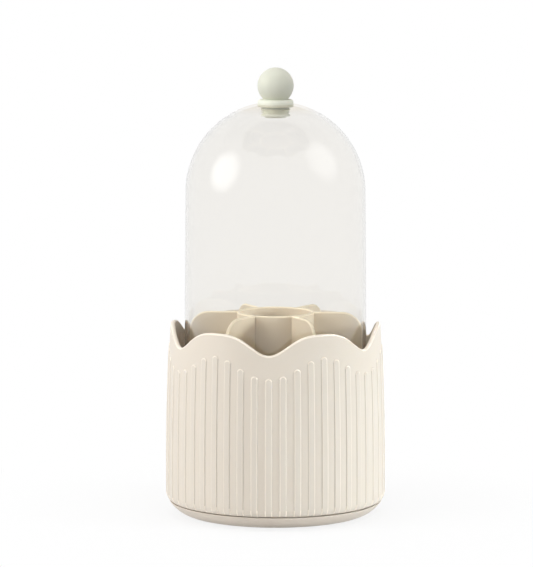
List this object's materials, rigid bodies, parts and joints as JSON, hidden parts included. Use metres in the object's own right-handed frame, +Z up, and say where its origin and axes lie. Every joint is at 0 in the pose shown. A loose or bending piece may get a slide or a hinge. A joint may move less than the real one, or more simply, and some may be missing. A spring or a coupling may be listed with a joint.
{
  "type": "rotating makeup brush holder",
  "caption": "Ribbed petal-rimmed cup that turns on a ball-bearing base, with a radial divider for brushes and a clear domed lift-off cover with a ball knob.",
  "frame": {"origin": "on the ground, under the middle of the base", "axes": "+Z up along the turning axis; a valley of the petal rim faces -Y, which is the front"},
  "size_m": [0.1398, 0.1398, 0.2842],
  "materials": {
    "cream_plastic": "satin moulded plastic, warm cream",
    "base_plastic": "satin moulded plastic, slightly greyer cream",
    "clear_plastic": "clear polished plastic with a faint warm grey tint",
    "knob_plastic": "satin moulded plastic, pale celery cream",
    "silicone": "soft milky silicone",
    "foot_rubber": "matt grey rubber",
    "nylon": "natural white nylon",
    "steel": "bright plated steel"
  },
  "bodies": {
    "base": {"base_dish": "base_plastic", "foot_1": "foot_rubber", "foot_2": "foot_rubber", "foot_3": "foot_rubber", "foot_4": "foot_rubber", "pivot_bush": "nylon"},
    "bearing": {"ball_cage": "nylon", "ball_1": "steel", "ball_2": "steel", "ball_3": "steel", "ball_4": "steel", "ball_5": "steel", "ball_6": "steel", "ball_7": "steel", "ball_8": "steel"},
    "cup": {"cup_floor": "cream_plastic", "floor_screw_1": "steel", "floor_screw_2": "steel", "floor_screw_3": "steel", "pivot_washer": "steel", "pivot_screw": "steel", "outer_shell": "cream_plastic", "divider": "cream_plastic", "cover_seat": "cream_plastic"},
    "cover": {"dome_cover": "clear_plastic", "knob_ball": "knob_plastic", "knob_collar": "knob_plastic", "knob_gasket": "silicone", "knob_nut": "knob_plastic", "knob_screw": "steel"}
  },
  "joints": [
    {"name": "cup_spin", "type": "hinge", "parent": "base", "child": "cup", "pos_m": [0, 0, 0.0069], "axis": [0, 0, 1], "continuous": true},
    {"name": "cage_spin", "type": "hinge", "parent": "base", "child": "bearing", "pos_m": [0, 0, 0.0069], "axis": [0, 0, 1], "continuous": true},
    {"name": "cover_lift", "type": "slide", "parent": "cup", "child": "cover", "axis": [0, 0, 1], "range_m": [0, 0.15]}
  ],
  "couplings": [
    {"joint": "cage_spin", "follows": "cup_spin", "ratio": 0.5}
  ]
}
